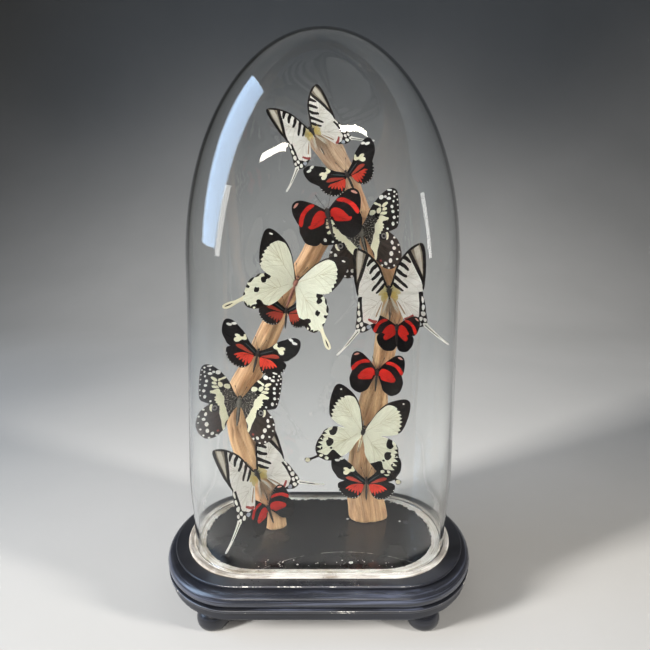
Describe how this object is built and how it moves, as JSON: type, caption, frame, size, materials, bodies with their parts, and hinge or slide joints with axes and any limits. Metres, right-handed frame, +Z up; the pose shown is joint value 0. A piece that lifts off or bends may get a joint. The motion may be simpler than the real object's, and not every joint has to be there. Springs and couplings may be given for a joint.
{
  "type": "insect in glass dome",
  "caption": "Tall oval glass dome on a stepped black base with bun feet, over mounted butterflies of several kinds pinned to a forked branch of driftwood.",
  "frame": {"origin": "on the ground, under the middle of the base (centre of the bottom of the bounding box)", "axes": "+Z up, +X along the long side of the oval base to the right seen from the front, -Y out of the front that the butterflies face"},
  "size_m": [0.31, 0.197, 0.558],
  "materials": {
    "black_lacquer": "glossy black lacquer, worn at the edges",
    "plaster": "matt, stained off-white",
    "old_glass": "clear, slightly wavy",
    "driftwood": "bare and weathered",
    "cream_wing": "matt",
    "black_spotted_wing": "matt",
    "pale_grey_wing": "matt",
    "black_red_wing": "matt",
    "red_banded_wing": "matt"
  },
  "bodies": {
    "root": {"foot_front_left": "black_lacquer", "foot_front_right": "black_lacquer", "foot_back_left": "black_lacquer", "foot_back_right": "black_lacquer", "base_moulding": "black_lacquer", "top_board": "black_lacquer", "floor_board": "black_lacquer", "plaster_ring": "plaster", "glass_dome": "old_glass", "driftwood_right_limb": "driftwood", "driftwood_left_limb": "driftwood", "driftwood_top_limb": "driftwood", "kite_swallowtail_top": "pale_grey_wing", "kite_swallowtail_right": "pale_grey_wing", "kite_swallowtail_bottom": "pale_grey_wing", "mocker_swallowtail_left": "cream_wing", "mocker_swallowtail_right": "cream_wing", "chequered_swallowtail_top": "black_spotted_wing", "chequered_swallowtail_left": "black_spotted_wing", "longwing_top": "black_red_wing", "longwing_shaded": "black_red_wing", "longwing_left": "black_red_wing", "longwing_bottom": "black_red_wing", "red_band_top": "red_banded_wing", "red_band_side": "red_banded_wing", "red_band_middle": "red_banded_wing", "red_band_bottom": "red_banded_wing"}
  },
  "joints": []
}
